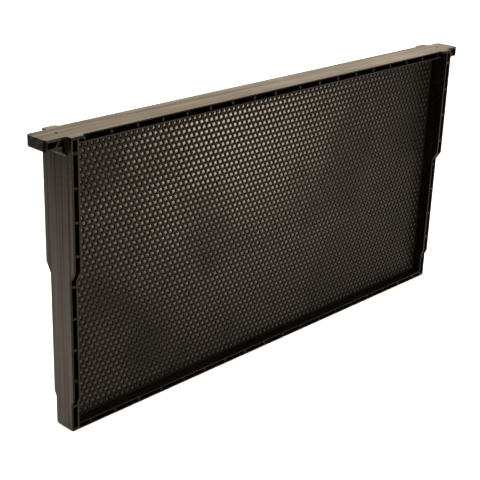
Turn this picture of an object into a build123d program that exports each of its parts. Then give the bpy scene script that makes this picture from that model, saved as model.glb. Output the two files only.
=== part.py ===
from build123d import *
import os

# A deep hive frame moulded in black plastic: a top bar with a lug at each end, two end bars and a
# bottom bar, snapped together round a sheet of cell-embossed foundation with beeswax on both faces.
# Each bar is two walls on a middle web, so an open channel, crossed by thin ribs, runs round it.
# X runs along the bars, Y is the thickness and Z is up. The origin is under the middle of the
# bottom bar, on the plane that the frame stands on.

# ---- driving sizes, in millimetres ----
frame_length = 482.6  # over the two lugs
body_length = 447.6  # over the end bars' outer faces
frame_height = 232.0
top_width = 27.0
lug_width = 22.4
lug_height = 8.2
shoulder_width = 33.0  # end bars, upper part: sets the gap to the next frame
waist_width = 23.2  # end bars, below the shoulder
foot_width = 18.8  # end bars' feet, and the bottom bar
shoulder_low, waist_high = 132.0, 124.0  # where the shoulder tapers to the waist
waist_low, foot_high = 27.4, 23.4  # where the waist tapers to the foot
ledge_gap = 9.55  # end bar to the hive wall that the lug rests on

end_bar_depth = 7.0
end_wall = 1.6  # the end bar's outer and inner walls
web = 3.2  # the web in the middle of every bar
end_floor = 2.6  # closes the end bar's channel at the foot
top_plate = 2.0
top_bar_depth = 6.3
top_inner_wall = 1.0
top_inner_width = 26.0
bottom_bar_depth = 5.3
bottom_outer_wall = 1.3
bottom_inner_wall = 1.0

rib = 0.9
pad_radius = 1.2  # round pads on the ribs' front ends
pad_length = 2.6
pad_rounding = 0.4
pad_pitch = 24.2  # along the top and bottom bars
top_pad_first, bottom_pad_first = 15.0, 12.1  # from the middle
pads_each_way = 9
top_pad_inset = 1.4  # the top bar's pads lie back from its edge
pad_inset = 0.3
end_pad_pitch = 25.35
end_pad_top = 220.4
end_pads = 8  # at the even pitch, with one more in the foot
end_pad_foot = 20.8
top_rib = 2.4  # the uppermost rib of an end bar is a broad one

lug_wall = 2.0
lug_flange = 1.8
lug_corner = 3.0
lug_inner_wall = 1.6  # against the end bar
brace = 2.2  # the slanted rib across the lug's side, measured along X
brace_foot, brace_lean = 8.5, 2.9  # the brace's foot from the end bar, and its lean
gusset_drop = 6.2  # how far the curved gusset under the lug reaches down the end bar
gusset_hollow = 0.8
gusset_start = 3.4  # from the end bar to where the lug's bottom flange stops
notch_drop, notch_slope = 3.2, 1.4  # the pocket beside the end bar dips into the gusset
shoulder_end = 10.8  # the top plate keeps the shoulder's width this far in from the end
shoulder_run = 2.2
shoulder_bend = 0.9
lip_thick, lip_slope = 0.8, 3.0  # the plate thins to a lip along both edges
corner_curl = 3.5  # the top bar's inner wall curls down into the end bar
dimple_radius, dimple_depth = 1.3, 1.3

sheet = 1.4  # the foundation's core
cell_field = 2.8  # over the cell rims
field_margin = 0.7  # bare border of the sheet that shows, round the field
groove_play = 0.05
sheet_engagement = 2.2
sheet_bottom, sheet_top = 3.2, 228.4
wax = 0.3
wax_margin = 0.2

tongue = 2.5  # thickness of the top bar's tongues
tongue_width = 4.2
tongue_length = 12.8
tongue_play = 0.1
socket_wall = 2.2
barb = 0.5
barb_height = 1.6
foot_tongue = 1.2
foot_tongue_width = 8.0
foot_tongue_length = 4.8
foot_tongue_base = 0.7
foot_barb, foot_barb_width, foot_barb_length = 0.5, 3.0, 1.2

soft_edge = 0.35  # moulded edges are never sharp
foot_corner = 1.6

# ---- places worked out from them ----
body_end = body_length / 2
inner_face = body_end - end_bar_depth
lip_end = body_end - shoulder_end - shoulder_run
lug_end = frame_length / 2
plate_under = frame_height - top_plate
top_under = frame_height - top_bar_depth
lug_under = frame_height - lug_height
groove = sheet + 2 * groove_play


def block(x, y, z):
    """A box from the low and high values along each axis."""
    size = [high - low for low, high in (x, y, z)]
    middle = [(high + low) / 2 for low, high in (x, y, z)]
    return Pos(*middle) * Box(*size)


def both_ends(shape):
    """The shape and its mirror image at the other end."""
    return [shape, mirror(shape, Plane.YZ)]


def both_sides(shape):
    """The shape and its mirror image on the other face."""
    return [shape, mirror(shape, Plane.XZ)]


def pad(x, z, outer):
    """A round pad pointing at the front, its face at -outer."""
    pin = extrude(Plane.XZ * Circle(pad_radius), pad_length)
    pin = fillet(pin.faces().sort_by(Axis.Y)[0].edges(), pad_rounding)
    return Pos(x, pad_length - outer, z) * pin


def pad_places(first):
    """The pads' places along the top or the bottom bar."""
    half = [first + pad_pitch * i for i in range(pads_each_way)]
    return [-x for x in reversed(half)] + half


# ---- end bars ----
def end_bar_width(z):
    """Half the end bar's width at a height clear of the tapers."""
    if z > shoulder_low:
        return shoulder_width / 2
    return waist_width / 2 if z > waist_low else foot_width / 2


def end_bar_blank():
    """The left end bar's outline with its two channels, walls' edges rounded."""
    half = [
        (foot_width / 2, 0),
        (foot_width / 2, foot_high),
        (waist_width / 2, waist_low),
        (waist_width / 2, waist_high),
        (shoulder_width / 2, shoulder_low),
        (shoulder_width / 2, plate_under),
    ]
    outline = half + [(-y, z) for y, z in reversed(half)]
    face = make_face(Polyline(*[(-body_end, y, z) for y, z in outline], close=True))
    bar = extrude(face, end_bar_depth, dir=(1, 0, 0))
    bar = fillet(bar.edges().filter_by(Axis.Y).group_by(Axis.Z)[0].sort_by(Axis.X)[0], foot_corner)
    channel_x = (end_wall - body_end, -inner_face - end_wall)
    channel = block(channel_x, (-shoulder_width, -web / 2), (end_floor, frame_height))
    bar -= both_sides(channel)
    rims = [e for e in bar.edges() if abs(e.center().Y) > foot_width / 2 - 0.1 and e.length > end_wall * 2]
    return fillet([e for e in rims if end_floor < e.center().Z < plate_under - 0.1], soft_edge)


def end_bar():
    """The left end bar: ribs and pads, the socket for the top bar's tongue, and the groove."""
    bar = end_bar_blank()
    channel_x = (end_wall - body_end, -inner_face - end_wall)
    middle_x = sum(channel_x) / 2
    heights = [end_pad_top - end_pad_pitch * i for i in range(end_pads)] + [end_pad_foot]
    for z in heights:
        outer = end_bar_width(z) - pad_inset
        thick = top_rib if z == end_pad_top else rib
        across = block(channel_x, (0.1 - outer, -web / 2), (z - thick / 2, z + thick / 2))
        bar += both_sides(across) + both_sides(pad(middle_x, z, outer))
    socket_y = tongue_width / 2 + tongue_play + socket_wall
    socket_low = plate_under - tongue_length - 2 * tongue_play
    bar += block(channel_x, (-socket_y, socket_y), (socket_low - socket_wall, plate_under))
    mortise_x = (channel_x[0], channel_x[0] + tongue + 2 * tongue_play)
    mortise_y = tongue_width / 2 + tongue_play
    bar -= block(mortise_x, (-mortise_y, mortise_y), (socket_low, frame_height))
    bar -= block(mortise_x, (-socket_y, socket_y), (socket_low, socket_low + barb_height + 0.6))
    slot_x = (-inner_face - foot_tongue_length - tongue_play, -inner_face)
    slot_y = foot_tongue_width / 2 + tongue_play
    slot_z = (foot_tongue_base - groove_play, foot_tongue_base + foot_tongue + groove_play)
    bar -= block(slot_x, (-slot_y, slot_y), slot_z)
    window_y = foot_barb_width / 2 + 2 * tongue_play
    window_x = (slot_x[0], slot_x[0] + foot_barb_length + 3 * tongue_play)
    bar -= block(window_x, (-window_y, window_y), (-1, foot_tongue_base))
    groove_x = (-inner_face - sheet_engagement - tongue_play, -inner_face)
    bar -= block(groove_x, (-groove / 2, groove / 2), (sheet_bottom - groove_play, frame_height))
    return bar


# ---- top bar ----
def plate():
    """The top surface: lugs, shoulders over the end bars, and the bar with its thin lips between."""
    corner = [
        (lug_end, lug_width / 2),
        (body_end, lug_width / 2),
        (body_end, shoulder_width / 2),
        (body_end - shoulder_end, shoulder_width / 2),
        (lip_end, top_width / 2),
    ]
    front = [(-x, -y) for x, y in corner] + [(x, -y) for x, y in reversed(corner)]
    back = [(-x, -y) for x, y in front]
    face = make_face(Polyline(*front, *back, close=True))
    face = fillet([v for v in face.vertices() if abs(v.X) > lug_end - 0.1], lug_corner)
    face = fillet([v for v in face.vertices() if abs(v.X) < body_end + 0.1], shoulder_bend)
    slab = Pos(0, 0, plate_under) * extrude(face, top_plate)
    slab = fillet(slab.faces().sort_by(Axis.Z)[-1].edges(), soft_edge)
    under_lip = [
        (-top_width, plate_under - 1),
        (-top_width, frame_height - lip_thick),
        (-top_width / 2, frame_height - lip_thick),
        (-top_width / 2 + lip_slope, plate_under),
        (-top_width / 2 + lip_slope, plate_under - 1),
    ]
    wedge = make_face(Polyline(*[(-lip_end, y, z) for y, z in under_lip], close=True))
    return slab - both_sides(extrude(wedge, 2 * lip_end, dir=(1, 0, 0)))


def lug():
    """The left lug below the plate: a web, end wall and flanges, a brace and a curved gusset."""
    heel_x, toe_z = -body_end - ledge_gap, lug_under - gusset_drop
    hollow = ((heel_x - body_end) / 2 + gusset_hollow, 0, (lug_under + toe_z) / 2 + gusset_hollow)
    outline = [
        Line((-lug_end, 0, plate_under), (-lug_end, 0, lug_under)),
        Line((-lug_end, 0, lug_under), (heel_x, 0, lug_under)),
        ThreePointArc((heel_x, 0, lug_under), hollow, (-body_end, 0, toe_z)),
        Line((-body_end, 0, toe_z), (-body_end, 0, plate_under)),
        Line((-body_end, 0, plate_under), (-lug_end, 0, plate_under)),
    ]
    body = extrude(make_face(outline), lug_width / 2, both=True)
    body = fillet(body.edges().filter_by(Axis.Z).group_by(Axis.X)[0], lug_corner)
    floor = lug_under + lug_flange
    brace_x = -body_end - brace_foot
    outer_pocket = [
        (-lug_end + lug_wall, plate_under),
        (-lug_end + lug_wall, floor),
        (brace_x - brace / 2, floor),
        (brace_x - brace / 2 + brace_lean, plate_under),
    ]
    inner_pocket = [
        (brace_x + brace / 2 + brace_lean, plate_under),
        (brace_x + brace / 2, floor),
        (-body_end - gusset_start, floor),
        (-body_end - gusset_start, floor - notch_drop),
        (-body_end - lug_inner_wall, floor - notch_drop - notch_slope),
        (-body_end - lug_inner_wall, plate_under),
    ]
    for points in (outer_pocket, inner_pocket):
        hole = make_face(Polyline(*[(x, -lug_width, z) for x, z in points], close=True))
        body -= both_sides(extrude(hole, lug_width - web / 2, dir=(0, 1, 0)))
    return body


def inner_wall():
    """The top bar's lower wall, curling down at both ends to meet the end bars."""
    low, high = top_under, top_under + top_inner_wall
    bend = inner_face - corner_curl
    centre = low - corner_curl
    outer_radius = corner_curl + top_inner_wall
    outer_start = centre + (outer_radius**2 - corner_curl**2) ** 0.5
    near, far = corner_curl * 0.5**0.5, outer_radius * 0.5**0.5
    under_curl = (-bend, 0, low), (-bend - near, 0, centre + near), (-inner_face, 0, centre)
    over_curl = (-inner_face, 0, outer_start), (-bend - far, 0, centre + far), (-bend, 0, high)
    outline = [
        Line((0, 0, low), under_curl[0]),
        ThreePointArc(*under_curl),
        Line(under_curl[-1], over_curl[0]),
        ThreePointArc(*over_curl),
        Line(over_curl[-1], (0, 0, high)),
        Line((0, 0, high), (0, 0, low)),
    ]
    return both_ends(extrude(make_face(outline), top_inner_width / 2, both=True))


def top_tongue():
    """The left tongue that snaps into the end bar's socket, with a barb on both sides."""
    x_low = end_wall - body_end + tongue_play
    x = (x_low, x_low + tongue)
    tip = plate_under - tongue_length
    shape = block(x, (-tongue_width / 2, tongue_width / 2), (tip, plate_under + 0.5))
    ramp = [
        (tongue_width / 2 - 0.1, tip),
        (tongue_width / 2 + barb, tip + barb_height),
        (tongue_width / 2 - 0.1, tip + barb_height),
    ]
    hook = make_face(Polyline(*[(x_low, y, z) for y, z in ramp], close=True))
    return shape + both_sides(extrude(hook, tongue, dir=(1, 0, 0)))


def top_bar():
    """The whole top bar, one moulding."""
    bar = plate() + both_ends(lug()) + inner_wall() + both_ends(top_tongue())
    low, high = top_under + top_inner_wall, plate_under
    bar += block((-inner_face, inner_face), (-web / 2, web / 2), (top_under, plate_under))
    outer = top_width / 2 - top_pad_inset
    for x in pad_places(top_pad_first):
        across = block((x - rib / 2, x + rib / 2), (0.1 - outer, -web / 2), (low, high))
        bar += both_sides(across) + both_sides(pad(x, (low + high) / 2, outer))
    groove_top = sheet_top + groove_play
    bar -= block((-inner_face, inner_face), (-groove / 2, groove / 2), (top_under - 5, groove_top))
    dimple = Pos(-body_end, 0, frame_height - dimple_depth) * Cylinder(
        dimple_radius, 2 * dimple_depth, align=(Align.CENTER, Align.CENTER, Align.MIN)
    )
    return bar - both_ends(dimple)


# ---- bottom bar ----
def bottom_bar():
    """Two walls on a web, a groove for the sheet, and a tongue at each end that hooks the end bar."""
    half = foot_width / 2
    low, high = bottom_outer_wall, bottom_bar_depth - bottom_inner_wall
    bar = block((-inner_face, inner_face), (-half, half), (0, bottom_bar_depth))
    bar -= both_sides(block((-inner_face, inner_face), (-foot_width, -web / 2), (low, high)))
    rims = bar.edges().filter_by(Axis.X).filter_by(lambda e: abs(e.center().Y) > half - 0.1)
    bar = fillet([e for e in rims if e.center().Z > high + 0.1 or e.center().Z < low - 0.1], soft_edge)
    outer = half - pad_inset
    for x in pad_places(bottom_pad_first):
        across = block((x - rib / 2, x + rib / 2), (0.1 - outer, -web / 2), (low, high))
        bar += both_sides(across) + both_sides(pad(x, (low + high) / 2, outer))
    reach = inner_face + foot_tongue_length
    base, crown = foot_tongue_base, foot_tongue_base + foot_tongue
    width = foot_tongue_width / 2
    bar += both_ends(block((-reach, -inner_face + 1), (-width, width), (base, crown)))
    hook_y = (-foot_barb_width / 2, foot_barb_width / 2)
    bar += both_ends(block((-reach, foot_barb_length - reach), hook_y, (base - foot_barb, base)))
    groove_z = (sheet_bottom - groove_play, frame_height)
    return bar - block((-inner_face, inner_face), (-groove / 2, groove / 2), groove_z)


# ---- foundation and wax ----
def foundation_sheet():
    """The foundation: a thin core whose edges sit in the grooves, and the field of raised cells."""
    reach = inner_face + sheet_engagement
    core = block((-reach, reach), (-sheet / 2, sheet / 2), (sheet_bottom, sheet_top))
    edge = inner_face - field_margin
    field_z = (bottom_bar_depth + field_margin, top_under - field_margin)
    field = block((-edge, edge), (-cell_field / 2, cell_field / 2), field_z)
    corners = field.edges().filter_by(Axis.Y).group_by(Axis.Z)[-1]
    return core + fillet(corners, corner_curl)


def wax_coating():
    """The coat of beeswax over the cells on the front face."""
    edge = inner_face - field_margin - wax_margin
    field_z = (bottom_bar_depth + field_margin + wax_margin, top_under - field_margin - wax_margin)
    coat = block((-edge, edge), (-cell_field / 2 - wax, -cell_field / 2), field_z)
    return fillet(coat.edges().filter_by(Axis.Y).group_by(Axis.Z)[-1], corner_curl)


left_end, front_wax = end_bar(), wax_coating()
nodes = {
    "top_bar": top_bar(),
    "end_bar_left": left_end,
    "end_bar_right": mirror(left_end, Plane.YZ),
    "bottom_bar": bottom_bar(),
    "foundation_sheet": foundation_sheet(),
    "wax_coating_front": front_wax,
    "wax_coating_back": mirror(front_wax, Plane.XZ),
}
os.makedirs("parts", exist_ok=True)
for name, shape in nodes.items():
    export_step(shape, f"parts/{name}.step")
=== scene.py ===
import bpy
import bmesh
from math import atan2, degrees, pi, radians, sqrt
from mathutils import Matrix, Vector


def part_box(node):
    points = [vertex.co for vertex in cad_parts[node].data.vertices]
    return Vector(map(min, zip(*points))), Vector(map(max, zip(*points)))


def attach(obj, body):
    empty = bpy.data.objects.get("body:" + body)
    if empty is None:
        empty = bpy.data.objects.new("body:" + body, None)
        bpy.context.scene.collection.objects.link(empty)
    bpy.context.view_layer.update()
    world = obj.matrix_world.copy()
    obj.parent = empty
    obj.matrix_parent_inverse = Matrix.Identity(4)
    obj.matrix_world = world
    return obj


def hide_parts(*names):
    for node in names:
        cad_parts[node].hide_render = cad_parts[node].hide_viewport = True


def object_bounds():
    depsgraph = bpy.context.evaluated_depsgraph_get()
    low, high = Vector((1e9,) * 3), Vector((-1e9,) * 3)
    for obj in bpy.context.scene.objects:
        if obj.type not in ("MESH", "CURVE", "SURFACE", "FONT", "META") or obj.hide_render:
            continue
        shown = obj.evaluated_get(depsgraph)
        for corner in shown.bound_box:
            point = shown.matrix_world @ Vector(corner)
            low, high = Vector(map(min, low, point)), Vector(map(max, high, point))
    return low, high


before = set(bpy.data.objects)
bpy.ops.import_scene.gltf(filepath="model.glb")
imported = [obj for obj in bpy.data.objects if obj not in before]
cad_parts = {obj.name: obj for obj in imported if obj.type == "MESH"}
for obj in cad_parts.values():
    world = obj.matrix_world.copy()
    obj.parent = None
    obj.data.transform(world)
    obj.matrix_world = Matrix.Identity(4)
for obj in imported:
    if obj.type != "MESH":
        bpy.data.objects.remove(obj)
cad_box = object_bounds()  # taken before any piece is added

# ---- Bars ----
# The top bar, the two end bars and the bottom bar, each one moulding in black polypropylene.
# They left the mould satin and warm-toned, with flow lines along their length and a little
# scuffing on the edges from hive tools and crates.
mm = 0.001
bar_black = (0.0008, 0.0006, 0.0005, 1)
bar_scuff = (0.0035, 0.0028, 0.0022, 1)
bar_sheen = (1.0, 0.80, 0.60, 1)
# brown dust on the outward faces, and painted light as well: it lightens and warms the top face and
# the outer end faces
bar_dust_and_light = (0.024, 0.014, 0.008, 1)
dust_and_light_reach = 0.6 * mm  # brown dust and painted light lie on the faces that are no further in than this
dust_and_light_film = 0.1  # its share where no streak or smear adds to it


def blank_material(name):
    """A new material with its node tree, its shader's sockets and the places on a piece."""
    material = bpy.data.materials.new(name)
    material.use_nodes = True
    tree = material.node_tree
    place = tree.nodes.new("ShaderNodeTexCoord").outputs
    return material, tree, tree.nodes["Principled BSDF"].inputs, place


def feed(tree, socket, source):
    """Links another node's output to a socket, or sets the socket to a number or a colour."""
    if isinstance(source, bpy.types.NodeSocket):
        tree.links.new(source, socket)
    else:
        socket.default_value = source


def noise(tree, place, scale, detail=2, variant=None):
    """A cloudy pattern over places, or a variant of it that a number picks."""
    made = tree.nodes.new("ShaderNodeTexNoise")
    made.inputs["Scale"].default_value = scale
    made.inputs["Detail"].default_value = detail
    feed(tree, made.inputs["Vector"], place)
    if variant is not None:
        made.noise_dimensions = "4D"
        made.inputs["W"].default_value = variant
    return made.outputs["Fac"]


def drawn_out(tree, place, axis, across, along):
    """Places scaled so that a pattern on them is drawn out along one axis."""
    made = tree.nodes.new("ShaderNodeMapping")
    made.inputs["Scale"].default_value = [along if each == axis else across for each in "XYZ"]
    feed(tree, made.inputs["Vector"], place)
    return made.outputs["Vector"]


def remap(tree, value, low, high, start=0, end=1):
    """A value that goes from start to end while another goes from low to high."""
    made = tree.nodes.new("ShaderNodeMapRange")
    spans = {"Value": value, "From Min": low, "From Max": high, "To Min": start, "To Max": end}
    for socket, source in spans.items():
        feed(tree, made.inputs[socket], source)
    return made.outputs["Result"]


def maths(tree, operation, *terms):
    """One step of arithmetic on patterns and numbers."""
    made = tree.nodes.new("ShaderNodeMath")
    made.operation = operation
    for socket, term in zip(made.inputs, terms):
        feed(tree, socket, term)
    return made.outputs["Value"]


def part_along(tree, vector, axis):
    """One axis of a vector."""
    made = tree.nodes.new("ShaderNodeSeparateXYZ")
    feed(tree, made.inputs["Vector"], vector)
    return made.outputs[axis]


def mix_colours(tree, share, under, over):
    """One colour over another, by a share that runs from 0 to 1."""
    made = tree.nodes.new("ShaderNodeMix")
    made.data_type = "RGBA"
    layers = {"Factor": share, "A": under, "B": over}
    for socket, source in layers.items():
        feed(tree, made.inputs[socket], source)
    return made.outputs["Result"]


def relief(tree, height, strength, depth, under=None):
    """Fine relief from a pattern, over another one where there are two."""
    made = tree.nodes.new("ShaderNodeBump")
    made.inputs["Strength"].default_value = strength
    made.inputs["Distance"].default_value = depth
    feed(tree, made.inputs["Height"], height)
    if under is not None:
        feed(tree, made.inputs["Normal"], under)
    return made.outputs["Normal"]


def moulded_bar(name, flow_axis, dust_and_light_axis, dust_and_light_line):
    """Satin black plastic, its flow lines along one axis, and on its outward faces brown dust that is
    also painted light, lightening and warming them.
    """
    material, tree, shader, place = blank_material(name)
    shader["IOR"].default_value = 1.5
    shader["Specular Tint"].default_value = bar_sheen

    fine = drawn_out(tree, place["Object"], flow_axis, across=620, along=9)
    coarse = drawn_out(tree, place["Object"], flow_axis, across=300, along=6)
    flow = noise(tree, fine, scale=1, detail=4)
    smears = noise(tree, coarse, scale=1, detail=3)
    cloud = noise(tree, place["Object"], scale=28, detail=5)
    grain = noise(tree, place["Object"], scale=2600)

    surface = tree.nodes.new("ShaderNodeNewGeometry").outputs
    edges = remap(tree, surface["Pointiness"], 0.51, 0.58)
    chafed = maths(tree, "MULTIPLY", edges, cloud)
    streaks = remap(tree, flow, 0.42, 0.75)
    wear = maths(tree, "MAXIMUM", streaks, chafed)
    worn = mix_colours(tree, wear, bar_black, bar_scuff)

    # outward faces get streaky brown dust, partly real dust and partly painted light that lightens and
    # warms them
    where = part_along(tree, place["Object"], dust_and_light_axis)
    facing = part_along(tree, place["Normal"], dust_and_light_axis)
    outward = maths(tree, "MULTIPLY", where, facing)
    outside = remap(tree, outward, dust_and_light_line, dust_and_light_line + 0.2 * mm)
    patchy = remap(tree, smears, 0.35, 0.7)
    lined = maths(tree, "MULTIPLY_ADD", flow, patchy, dust_and_light_film)
    dust_and_light = maths(tree, "MULTIPLY", outside, lined)
    feed(tree, shader["Base Color"], mix_colours(tree, dust_and_light, worn, bar_dust_and_light))

    feed(tree, shader["Specular IOR Level"], remap(tree, smears, 0.35, 0.7, 0.19, 0.02))
    feed(tree, shader["Roughness"], remap(tree, cloud, 0.3, 0.7, 0.2, 0.31))
    lines = relief(tree, flow, 0.25, 0.05 * mm)
    feed(tree, shader["Normal"], relief(tree, grain, 0.3, 0.02 * mm, lines))
    return material


top_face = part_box("top_bar")[1].z - dust_and_light_reach
outer_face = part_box("end_bar_right")[1].x - dust_and_light_reach
lengthwise_bar = moulded_bar("black_plastic_lengthwise", "X", "Z", top_face)
upright_bar = moulded_bar("black_plastic_upright", "Z", "X", outer_face)
for bar, plastic in (
    ("top_bar", lengthwise_bar),
    ("bottom_bar", lengthwise_bar),
    ("end_bar_left", upright_bar),
    ("end_bar_right", upright_bar),
):
    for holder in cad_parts[bar].material_slots:
        holder.material = plastic

# ---- Foundation ----
# A black plastic sheet pressed on both faces with the bottoms and low walls of worker cells.
# Three slanted facets make each bottom, and each is the back of a facet of a cell on the other
# face. The bare edge all round slips into the bars' grooves.
cell_pitch = 5.29 * mm
row_pitch = cell_pitch * sqrt(3) / 2
cell_radius = cell_pitch / sqrt(3)
wall_half = 0.5 * mm
wall_draft = 0.16 * mm
facet_rise = cell_radius / sqrt(8)  # from the middle of a bottom to the end of its ridges
skin_half = 0.25 * mm
core_half = 0.7 * mm
weld = 0.01 * mm
sheet_low, sheet_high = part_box("foundation_sheet")
coat_low, coat_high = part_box("wax_coating_front")
rim = -coat_low.y
cells_in_row = int((coat_high.x - coat_low.x) / cell_pitch - 0.5)
rows = int((coat_high.z - coat_low.z - cell_radius / 2) / row_pitch)
first_cell = -(cells_in_row - 0.5) * cell_pitch / 2
first_row = coat_low.z + cell_radius
# the back face is the front one turned over, so that each of its ridges meets one of the front's
turn_line = first_row + (rows - 1) * row_pitch / 2 + cell_radius / 2
turn_over = Matrix.Translation((0, 0, 2 * turn_line)) @ Matrix.Rotation(pi, 4, "X")


def spoke(vertex):
    """Which way a corner lies from its cell's middle: 30 on the three ridges, 90 between them."""
    return round(degrees(atan2(vertex.co.z, vertex.co.x))) % 120


def facets(bm, face, middle):
    """Makes a flat hexagon a bottom of three facets that slant down to its middle."""
    corners = list(face.verts)
    share = corners[0].co.xz.length / cell_radius
    hub = bmesh.ops.poke(bm, faces=[face])["verts"][0]
    hub.co.y = middle
    for corner in corners:
        steps = 1 if spoke(corner) == 30 else 2
        corner.co.y = middle - steps * share * facet_rise
    folds = [edge for edge in hub.link_edges if spoke(edge.other_vert(hub)) != 30]
    bmesh.ops.dissolve_edges(bm, edges=folds)


def hexagon(bm, radius, level):
    """One flat hexagon, corner up, that faces the front."""
    place = Matrix.Translation((0, level, 0)) @ Matrix.Rotation(pi / 2, 4, "X")
    made = bmesh.ops.create_circle(bm, cap_ends=True, radius=radius, segments=6, matrix=place)
    return made["verts"][0].link_faces[0]


def copy_to(bm, faces, place):
    """Copies faces to a place, and gives the copies."""
    made = bmesh.ops.duplicate(bm, geom=faces)["geom"]
    bmesh.ops.translate(bm, verts=[v for v in made if isinstance(v, bmesh.types.BMVert)], vec=place)
    return [face for face in made if isinstance(face, bmesh.types.BMFace)]


def lay_out(bm, *blocks):
    """Repeats the cell in the mesh over blocks of columns and rows, each second row half a cell on."""
    cell = bm.faces[:]
    spent = set(bm.verts)
    for columns, lines in blocks:
        row = []
        for column in columns:
            row += copy_to(bm, cell, (first_cell + column * cell_pitch, 0, first_row))
        spent |= {corner for face in row for corner in face.verts}
        for line in lines:
            copy_to(bm, row, ((rows - line) % 2 * cell_pitch / 2, 0, line * row_pitch))
    bmesh.ops.delete(bm, geom=list(spent), context="VERTS")
    bmesh.ops.remove_doubles(bm, verts=bm.verts, dist=weld)


def embossed_cells(back):
    """All the cells of a face: rims, walls and facets, closed by the sheet's middle surface."""
    bm = bmesh.new()
    bottom = hexagon(bm, cell_radius, -rim)
    for step in (wall_half, wall_draft):
        bmesh.ops.inset_region(
            bm, faces=[bottom], thickness=step, use_boundary=True, use_even_offset=True
        )
    facets(bm, bottom, facet_rise - skin_half)
    facets(bm, hexagon(bm, cell_radius, 0), facet_rise)
    lay_out(bm, (range(cells_in_row), range(1 if back else 0, rows)))
    outline = [edge for edge in bm.edges if edge.is_boundary]
    under = {v for edge in outline for v in edge.verts if v.co.y > -(rim + facet_rise) / 2}
    bmesh.ops.scale(bm, vec=(1, 0, 1), verts=list(under))
    bmesh.ops.bridge_loops(bm, edges=outline)
    if back:
        bmesh.ops.transform(bm, matrix=turn_over, verts=bm.verts)
    return bm


def bare_edge(back):
    """The flat edge round the cells of a face, as thick as half the sheet."""
    bm = bmesh.new()
    hexagon(bm, cell_radius, -core_half)
    first, last = 1 if back else 0, rows
    wide = range(-2, cells_in_row + 2)
    below, above = range(first - 2, first), range(last, last + 2)
    left, right = range(-2, 0), range(cells_in_row, cells_in_row + 2)
    inner = range(first, last)
    lay_out(bm, (wide, below), (wide, above), (left, inner), (right, inner))
    if back:
        bmesh.ops.transform(bm, matrix=turn_over, verts=bm.verts)
    for corner, way in ((sheet_low, -1), (sheet_high, 1)):
        for outward in ((way, 0, 0), (0, 0, way)):
            whole = bm.verts[:] + bm.edges[:] + bm.faces[:]
            bmesh.ops.bisect_plane(
                bm, geom=whole, dist=weld, plane_co=corner, plane_no=outward, clear_outer=True
            )
    slab = bmesh.ops.extrude_face_region(bm, geom=bm.faces[:], use_keep_orig=True)["geom"]
    inward = (0, -core_half if back else core_half, 0)
    bmesh.ops.translate(bm, verts=[v for v in slab if isinstance(v, bmesh.types.BMVert)], vec=inward)
    return bm


def finished(name, parts, material, node):
    """Joins closed parts into a piece of the sheet that stands for a node."""
    whole = bmesh.new()
    mesh = bpy.data.meshes.new(name)
    for part in parts:
        bmesh.ops.recalc_face_normals(part, faces=part.faces)
        part.to_mesh(mesh)
        part.free()
        whole.from_mesh(mesh)
    whole.to_mesh(mesh)
    whole.free()
    mesh.materials.append(material)
    made = bpy.data.objects.new(name, mesh)
    bpy.context.scene.collection.objects.link(made)
    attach(made, "root")
    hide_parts(node)
    return made


pressed_black = (0.0022, 0.0019, 0.0016, 1)
pressed_grey = (0.0075, 0.0063, 0.0052, 1)
pressed_sheen = (1.0, 0.94, 0.86, 1)


def pressed_plastic():
    """The sheet's plastic: black, duller than the bars, with a fine pressed grain."""
    material, tree, shader, place = blank_material("black_plastic_pressed")
    shader["Specular IOR Level"].default_value = 0.08
    shader["Specular Tint"].default_value = pressed_sheen
    cloud = noise(tree, place["Object"], scale=45, detail=6)
    grain = noise(tree, place["Object"], scale=3200)
    feed(tree, shader["Base Color"], mix_colours(tree, cloud, pressed_black, pressed_grey))
    feed(tree, shader["Roughness"], remap(tree, cloud, 0, 1, 0.3, 0.42))
    feed(tree, shader["Normal"], relief(tree, grain, 0.35, 0.02 * mm))
    return material


sheet_plastic = pressed_plastic()
for name, back in (("foundation_front", False), ("foundation_back", True)):
    both = embossed_cells(back), bare_edge(back)
    finished(name, both, sheet_plastic, "foundation_sheet")

# ---- Wax ----
# Beeswax rolled on warm over both faces. It lies as a thin skin in the bottom of every cell,
# slightly thicker in the middle, and leaves the rims bare. It is thin in cloudy patches, and the
# pattern is set so that its thick patch, lighter and glossier, lies where the front softbox's
# highlight falls, which makes it partly painted highlight.
wax_skin = 0.12 * mm
wax_pool = 0.2 * mm
wax_bite = 0.04 * mm  # how far the skin reaches into the facets
wax_radius = 0.58 * cell_radius
wax_thin = (0.005, 0.004, 0.003, 1)
wax_thick_and_highlight = (0.022, 0.017, 0.011, 1)
wax_sheen = (1.0, 0.93, 0.83, 1)


def wax_skins(back):
    """A closed skin of wax over the three facets of every cell of a face."""
    bm = bmesh.new()
    level = facet_rise - skin_half
    facets(bm, hexagon(bm, wax_radius, 0), level - wax_skin)
    facets(bm, hexagon(bm, wax_radius, 0), level + wax_bite)
    hubs = [v for v in bm.verts if v.co.xz.length < weld and v.co.y < level]
    bmesh.ops.translate(bm, verts=hubs, vec=(0, wax_skin - wax_pool, 0))
    bmesh.ops.bridge_loops(bm, edges=[edge for edge in bm.edges if edge.is_boundary])
    lay_out(bm, (range(cells_in_row), range(1 if back else 0, rows)))
    if back:
        bmesh.ops.transform(bm, matrix=turn_over, verts=bm.verts)
    return bm


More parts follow.
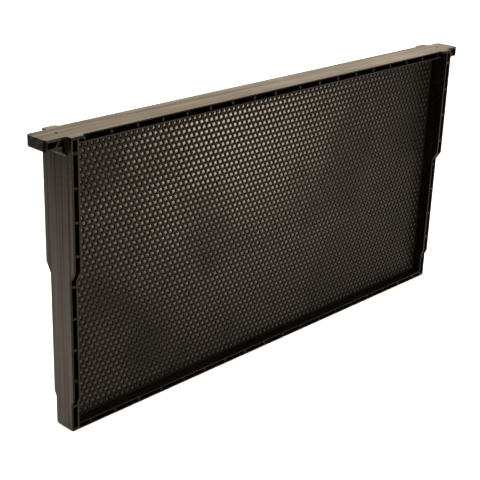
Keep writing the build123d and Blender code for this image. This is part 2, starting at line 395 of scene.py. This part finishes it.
def beeswax():
    """A thin film of wax over black: dark, warm and glossy, milky where it is thick; the thick patch
    is set on the front light's highlight as painted highlight.
    """
    material, tree, shader, place = blank_material("beeswax")
    shader["IOR"].default_value = 1.45
    shader["Specular Tint"].default_value = wax_sheen
    # the variant number puts the thick, lighter and glossier patch where the front softbox's highlight
    # falls: partly painted highlight
    patches = noise(tree, place["Object"], scale=15, variant=255.3)
    speckle = noise(tree, place["Object"], scale=420, detail=3)
    coverage_and_highlight = remap(tree, patches, 0.36, 0.52)
    # thickness here is thick wax and the painted highlight that its patch carries
    thickness = maths(tree, "MULTIPLY", coverage_and_highlight, speckle)
    feed(tree, shader["Base Color"], mix_colours(tree, thickness, wax_thin, wax_thick_and_highlight))
    feed(tree, shader["Specular IOR Level"], remap(tree, coverage_and_highlight, 0, 1, 0.18, 0.36))
    feed(tree, shader["Roughness"], remap(tree, speckle, 0, 1, 0.29, 0.34))
    feed(tree, shader["Normal"], relief(tree, speckle, 0.3, 0.1 * mm))
    return material


wax = beeswax()
for name, back, node in (
    ("wax_front", False, "wax_coating_front"),
    ("wax_back", True, "wax_coating_back"),
):
    finished(name, [wax_skins(back)], wax, node)

# ---- Studio ----
# A white table in front of a white wall, a large soft light overhead, and a softbox in front
# and behind. The camera stands to the left of the front face and looks down on it.
table_half = 1.2
table_left = -0.6
table_white = (0.79, 0.82, 0.87, 1)


def table():
    """The white floor under the frame, which ends a little way past its left-hand end."""
    bm = bmesh.new()
    bmesh.ops.create_grid(bm, x_segments=1, y_segments=1, size=table_half)
    bmesh.ops.translate(bm, verts=bm.verts, vec=(table_left + table_half, 0, 0))
    mesh = bpy.data.meshes.new("table")
    bm.to_mesh(mesh)
    bm.free()
    white = bpy.data.materials.new("white_table")
    white.use_nodes = True
    shader = white.node_tree.nodes["Principled BSDF"].inputs
    shader["Base Color"].default_value = table_white
    shader["Roughness"].default_value = 0.9
    shader["Specular IOR Level"].default_value = 0.1
    mesh.materials.append(white)
    made = bpy.data.objects.new("table", mesh)
    bpy.context.scene.collection.objects.link(made)


def softbox(name, direction, distance, size, power, colour):
    """A square soft light that looks at the middle of the frame."""
    lamp = bpy.data.lights.new(name, "AREA")
    lamp.size = size
    lamp.energy = power
    lamp.color = colour
    made = bpy.data.objects.new(name, lamp)
    way = Vector(direction).normalized()
    made.location = (cad_box[0] + cad_box[1]) / 2 + way * distance
    made.rotation_euler = way.to_track_quat("Z", "Y").to_euler()
    bpy.context.scene.collection.objects.link(made)


def wall():
    """The room round the table: white to look at, and a weak light on the frame."""
    room = bpy.data.worlds.new("studio")
    bpy.context.scene.world = room
    room.use_nodes = True
    tree = room.node_tree
    glow = tree.nodes["Background"].inputs
    glow["Color"].default_value = (1, 0.89, 0.78, 1)
    seen = tree.nodes.new("ShaderNodeLightPath").outputs["Is Camera Ray"]
    feed(tree, glow["Strength"], remap(tree, seen, 0, 1, 0.35, 1.6))


table()
wall()
softbox("overhead", (0.0, 0.15, 1), 2.6, 3.2, 228, (1, 0.89, 0.78))
softbox("front_key", (-0.27, -0.89, 0.36), 1.04, 0.28, 14.5, (1, 0.89, 0.76))
softbox("back_sheen", (0.625, 0.725, 0.29), 2.2, 1.5, 10.5, (1, 0.84, 0.62))
bpy.context.scene.view_settings.view_transform = "Standard"

lens = bpy.data.cameras.new("camera")
lens.sensor_width = 36
lens.lens = 84.84
camera = bpy.data.objects.new("camera", lens)
stand = Matrix.Translation((-0.6732, -0.6048, 0.4552))
heading, tilt, lean = -46.40, 21.82, 1.96
camera.matrix_world = (
    stand
    @ Matrix.Rotation(radians(heading), 4, "Z")
    @ Matrix.Rotation(radians(90 - tilt), 4, "X")
    @ Matrix.Rotation(radians(lean), 4, "Z")
)
bpy.context.scene.collection.objects.link(camera)
bpy.context.scene.camera = camera
